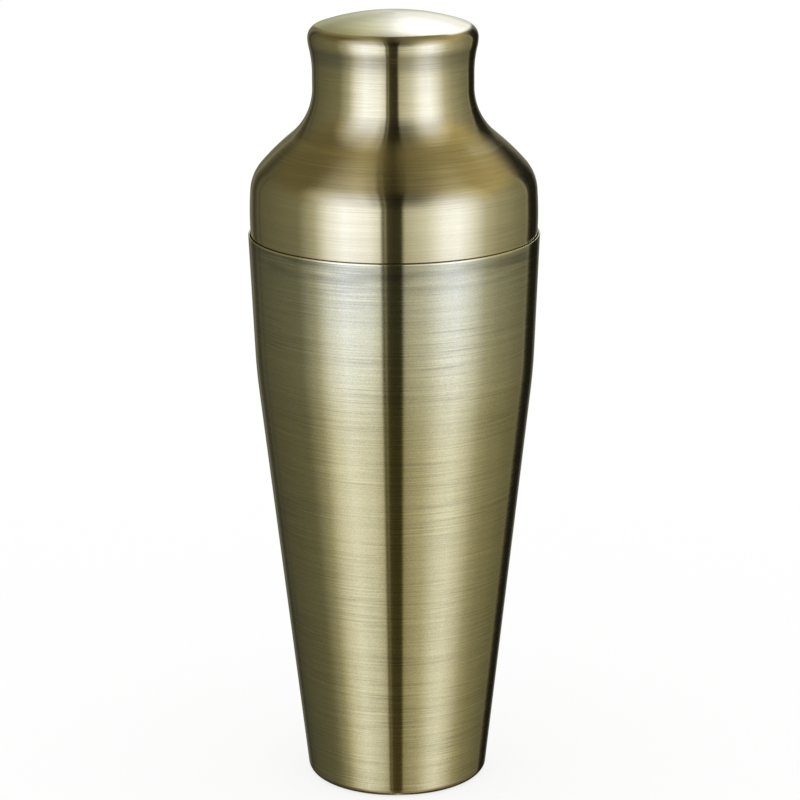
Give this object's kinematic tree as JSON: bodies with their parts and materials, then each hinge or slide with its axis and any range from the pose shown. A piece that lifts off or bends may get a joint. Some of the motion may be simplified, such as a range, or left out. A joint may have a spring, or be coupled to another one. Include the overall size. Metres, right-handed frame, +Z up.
{
  "type": "cocktail shaker",
  "caption": "Tapered metal cocktail shaker: an open tin that narrows to its foot, and a bottle-shaped cap with a domed knob that lifts off its mouth.",
  "frame": {"origin": "centre of the ring under the base, on the surface that the shaker stands on", "axes": "+Z up along the shaker's axis of revolution, from the foot of the tin to the knob of the cap; +X and +Y are any two directions across it"},
  "size_m": [0.0888, 0.0888, 0.2409],
  "materials": {
    "tin_plating": "stainless steel sheet with a brushed antique-brass plating",
    "cap_plating": "stainless steel sheet with a brushed antique-brass plating"
  },
  "bodies": {
    "tin": {"lower_tin": "tin_plating"},
    "cap": {"upper_cap": "cap_plating"}
  },
  "joints": [
    {"name": "cap_lift", "type": "slide", "parent": "tin", "child": "cap", "axis": [0, 0, 1], "range_m": [0, 0.06]}
  ]
}
